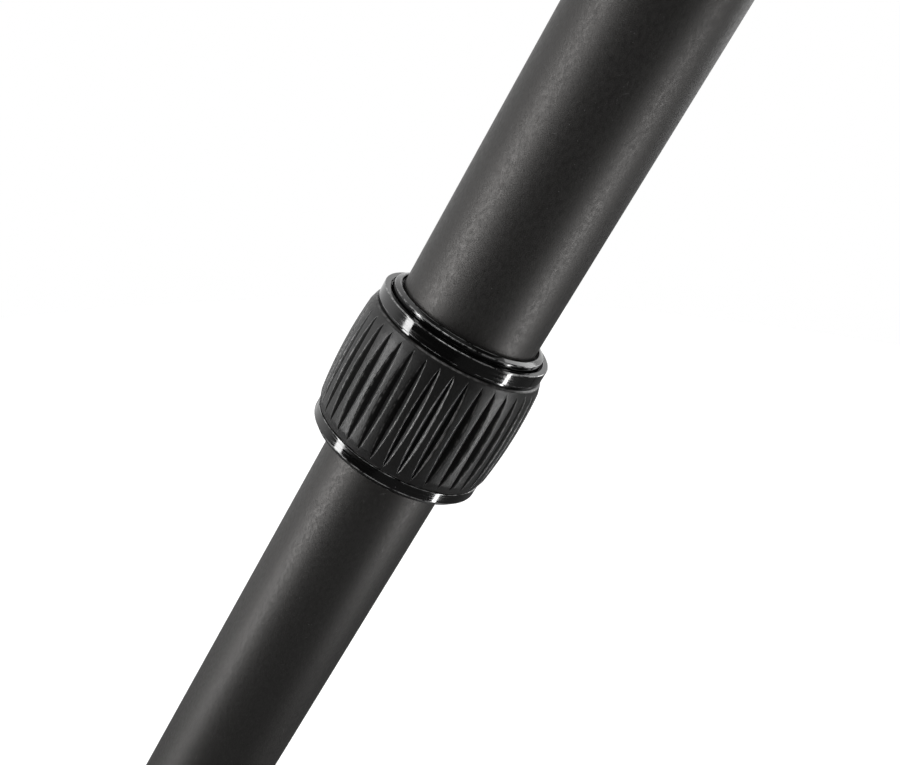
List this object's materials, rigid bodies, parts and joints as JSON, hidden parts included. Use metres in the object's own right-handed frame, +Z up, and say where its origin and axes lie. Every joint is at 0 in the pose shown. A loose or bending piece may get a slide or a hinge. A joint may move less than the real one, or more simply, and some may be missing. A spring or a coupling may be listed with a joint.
{
  "type": "camera tripod",
  "caption": "Camera tripod with telescoping carbon legs on twist locks, a spider with leg-angle latches and a clamped centre column with a stud on its plate.",
  "frame": {"origin": "centre of the top plate's upper face, on the column's axis, where the head seats", "axes": "+Z up along the centre column and its stud; -X towards the foot of leg 1, with legs 2 and 3 a third of a turn each way"},
  "size_m": [0.6379, 0.7318, 0.9761],
  "materials": {
    "carbon_tube": "woven carbon fibre, satin resin",
    "black_anodised": "black anodised, smooth",
    "grip_rubber": "matte charcoal rubber",
    "casting": "cast, fine black powder coat",
    "machined_plate": "turned and black anodised",
    "bush_plastic": "natural acetal",
    "guide_plastic": "moulded",
    "steel": "bright zinc",
    "level_vial": "clear green vial",
    "latch_metal": "bead blasted, anodised grey",
    "foot_rubber": "moulded rubber",
    "cap_plastic": "moulded"
  },
  "bodies": {
    "apex": {"apex_casting": "casting", "leg_pivot_bolts": "steel", "bubble_level": "level_vial"},
    "column_bush": {"column_bush": "bush_plastic"},
    "column_lock": {"column_lock_ring": "black_anodised", "column_lock_grip": "grip_rubber"},
    "column": {"column_tube": "carbon_tube", "top_plate": "machined_plate", "head_stud": "steel", "plate_screws": "steel", "column_end_cap": "cap_plastic"},
    "hook": {"ballast_hook": "steel"},
    "leg1": {"leg1_shoulder": "casting", "leg1_upper_tube": "carbon_tube", "leg1_lock1_sleeve": "black_anodised"},
    "leg1_latch": {"leg1_angle_latch": "latch_metal"},
    "leg1_bush1": {"leg1_lock1_bush": "bush_plastic"},
    "leg1_lock1": {"leg1_lock1_ring": "black_anodised", "leg1_lock1_grip": "grip_rubber"},
    "leg1_middle": {"leg1_middle_tube": "carbon_tube", "leg1_middle_guide": "guide_plastic", "leg1_lock2_sleeve": "black_anodised"},
    "leg1_bush2": {"leg1_lock2_bush": "bush_plastic"},
    "leg1_lock2": {"leg1_lock2_ring": "black_anodised", "leg1_lock2_grip": "grip_rubber"},
    "leg1_lower": {"leg1_lower_tube": "carbon_tube", "leg1_lower_guide": "guide_plastic", "leg1_foot": "foot_rubber"},
    "leg2": {"leg2_shoulder": "casting", "leg2_upper_tube": "carbon_tube", "leg2_lock1_sleeve": "black_anodised"},
    "leg2_latch": {"leg2_angle_latch": "latch_metal"},
    "leg2_bush1": {"leg2_lock1_bush": "bush_plastic"},
    "leg2_lock1": {"leg2_lock1_ring": "black_anodised", "leg2_lock1_grip": "grip_rubber"},
    "leg2_middle": {"leg2_middle_tube": "carbon_tube", "leg2_middle_guide": "guide_plastic", "leg2_lock2_sleeve": "black_anodised"},
    "leg2_bush2": {"leg2_lock2_bush": "bush_plastic"},
    "leg2_lock2": {"leg2_lock2_ring": "black_anodised", "leg2_lock2_grip": "grip_rubber"},
    "leg2_lower": {"leg2_lower_tube": "carbon_tube", "leg2_lower_guide": "guide_plastic", "leg2_foot": "foot_rubber"},
    "leg3": {"leg3_shoulder": "casting", "leg3_upper_tube": "carbon_tube", "leg3_lock1_sleeve": "black_anodised"},
    "leg3_latch": {"leg3_angle_latch": "latch_metal"},
    "leg3_bush1": {"leg3_lock1_bush": "bush_plastic"},
    "leg3_lock1": {"leg3_lock1_ring": "black_anodised", "leg3_lock1_grip": "grip_rubber"},
    "leg3_middle": {"leg3_middle_tube": "carbon_tube", "leg3_middle_guide": "guide_plastic", "leg3_lock2_sleeve": "black_anodised"},
    "leg3_bush2": {"leg3_lock2_bush": "bush_plastic"},
    "leg3_lock2": {"leg3_lock2_ring": "black_anodised", "leg3_lock2_grip": "grip_rubber"},
    "leg3_lower": {"leg3_lower_tube": "carbon_tube", "leg3_lower_guide": "guide_plastic", "leg3_foot": "foot_rubber"}
  },
  "joints": [
    {"name": "column_bush_slide", "type": "slide", "parent": "apex", "child": "column_bush", "axis": [0, 0, 1], "range_m": [0, 0.001]},
    {"name": "column_lock_turn", "type": "hinge", "parent": "column_bush", "child": "column_lock", "pos_m": [0, 0, -0.1084], "axis": [0, 0, 1], "range_deg": [0, 180]},
    {"name": "column_slide", "type": "slide", "parent": "apex", "child": "column", "axis": [0, 0, 1], "range_m": [-0.06, 0.2]},
    {"name": "hook_swivel", "type": "hinge", "parent": "column", "child": "hook", "pos_m": [0, 0, -0.368], "axis": [0, 0, 1], "continuous": true},
    {"name": "leg1_splay", "type": "hinge", "parent": "apex", "child": "leg1", "pos_m": [-0.037, 0, -0.1249], "axis": [0, 1, 0], "range_deg": [-23, 58]},
    {"name": "leg1_latch_slide", "type": "slide", "parent": "leg1", "child": "leg1_latch", "axis": [0.4067, 0, 0.9135], "range_m": [0, 0.0024]},
    {"name": "leg1_bush1_slide", "type": "slide", "parent": "leg1", "child": "leg1_bush1", "axis": [-0.4067, 0, -0.9135], "range_m": [0, 0.001]},
    {"name": "leg1_lock1_turn", "type": "hinge", "parent": "leg1_bush1", "child": "leg1_lock1", "pos_m": [-0.037, 0, -0.1249], "axis": [-0.4067, 0, -0.9135], "range_deg": [0, 180]},
    {"name": "leg1_middle_slide", "type": "slide", "parent": "leg1", "child": "leg1_middle", "axis": [-0.4067, 0, -0.9135], "range_m": [-0.18, 0.2]},
    {"name": "leg1_bush2_slide", "type": "slide", "parent": "leg1_middle", "child": "leg1_bush2", "axis": [-0.4067, 0, -0.9135], "range_m": [0, 0.001]},
    {"name": "leg1_lock2_turn", "type": "hinge", "parent": "leg1_bush2", "child": "leg1_lock2", "pos_m": [-0.037, 0, -0.1249], "axis": [-0.4067, 0, -0.9135], "range_deg": [0, 180]},
    {"name": "leg1_lower_slide", "type": "slide", "parent": "leg1_middle", "child": "leg1_lower", "axis": [-0.4067, 0, -0.9135], "range_m": [-0.18, 0.2]},
    {"name": "leg2_splay", "type": "hinge", "parent": "apex", "child": "leg2", "pos_m": [0.0185, -0.03204, -0.1249], "axis": [-0.866, -0.5, 0], "range_deg": [-23, 58]},
    {"name": "leg2_latch_slide", "type": "slide", "parent": "leg2", "child": "leg2_latch", "axis": [-0.2034, 0.3522, 0.9135], "range_m": [0, 0.0024]},
    {"name": "leg2_bush1_slide", "type": "slide", "parent": "leg2", "child": "leg2_bush1", "axis": [0.2034, -0.3522, -0.9135], "range_m": [0, 0.001]},
    {"name": "leg2_lock1_turn", "type": "hinge", "parent": "leg2_bush1", "child": "leg2_lock1", "pos_m": [0.0185, -0.03204, -0.1249], "axis": [0.2034, -0.3522, -0.9135], "range_deg": [0, 180]},
    {"name": "leg2_middle_slide", "type": "slide", "parent": "leg2", "child": "leg2_middle", "axis": [0.2034, -0.3522, -0.9135], "range_m": [-0.18, 0.2]},
    {"name": "leg2_bush2_slide", "type": "slide", "parent": "leg2_middle", "child": "leg2_bush2", "axis": [0.2034, -0.3522, -0.9135], "range_m": [0, 0.001]},
    {"name": "leg2_lock2_turn", "type": "hinge", "parent": "leg2_bush2", "child": "leg2_lock2", "pos_m": [0.0185, -0.03204, -0.1249], "axis": [0.2034, -0.3522, -0.9135], "range_deg": [0, 180]},
    {"name": "leg2_lower_slide", "type": "slide", "parent": "leg2_middle", "child": "leg2_lower", "axis": [0.2034, -0.3522, -0.9135], "range_m": [-0.18, 0.2]},
    {"name": "leg3_splay", "type": "hinge", "parent": "apex", "child": "leg3", "pos_m": [0.0185, 0.03204, -0.1249], "axis": [0.866, -0.5, 0], "range_deg": [-23, 58]},
    {"name": "leg3_latch_slide", "type": "slide", "parent": "leg3", "child": "leg3_latch", "axis": [-0.2034, -0.3522, 0.9135], "range_m": [0, 0.0024]},
    {"name": "leg3_bush1_slide", "type": "slide", "parent": "leg3", "child": "leg3_bush1", "axis": [0.2034, 0.3522, -0.9135], "range_m": [0, 0.001]},
    {"name": "leg3_lock1_turn", "type": "hinge", "parent": "leg3_bush1", "child": "leg3_lock1", "pos_m": [0.0185, 0.03204, -0.1249], "axis": [0.2034, 0.3522, -0.9135], "range_deg": [0, 180]},
    {"name": "leg3_middle_slide", "type": "slide", "parent": "leg3", "child": "leg3_middle", "axis": [0.2034, 0.3522, -0.9135], "range_m": [-0.18, 0.2]},
    {"name": "leg3_bush2_slide", "type": "slide", "parent": "leg3_middle", "child": "leg3_bush2", "axis": [0.2034, 0.3522, -0.9135], "range_m": [0, 0.001]},
    {"name": "leg3_lock2_turn", "type": "hinge", "parent": "leg3_bush2", "child": "leg3_lock2", "pos_m": [0.0185, 0.03204, -0.1249], "axis": [0.2034, 0.3522, -0.9135], "range_deg": [0, 180]},
    {"name": "leg3_lower_slide", "type": "slide", "parent": "leg3_middle", "child": "leg3_lower", "axis": [0.2034, 0.3522, -0.9135], "range_m": [-0.18, 0.2]}
  ],
  "couplings": [
    {"joint": "column_bush_slide", "follows": "column_lock_turn", "m_per_rad": 0.0003183},
    {"joint": "leg1_bush1_slide", "follows": "leg1_lock1_turn", "m_per_rad": 0.0003183},
    {"joint": "leg1_bush2_slide", "follows": "leg1_lock2_turn", "m_per_rad": 0.0003183},
    {"joint": "leg2_bush1_slide", "follows": "leg2_lock1_turn", "m_per_rad": 0.0003183},
    {"joint": "leg2_bush2_slide", "follows": "leg2_lock2_turn", "m_per_rad": 0.0003183},
    {"joint": "leg3_bush1_slide", "follows": "leg3_lock1_turn", "m_per_rad": 0.0003183},
    {"joint": "leg3_bush2_slide", "follows": "leg3_lock2_turn", "m_per_rad": 0.0003183}
  ]
}
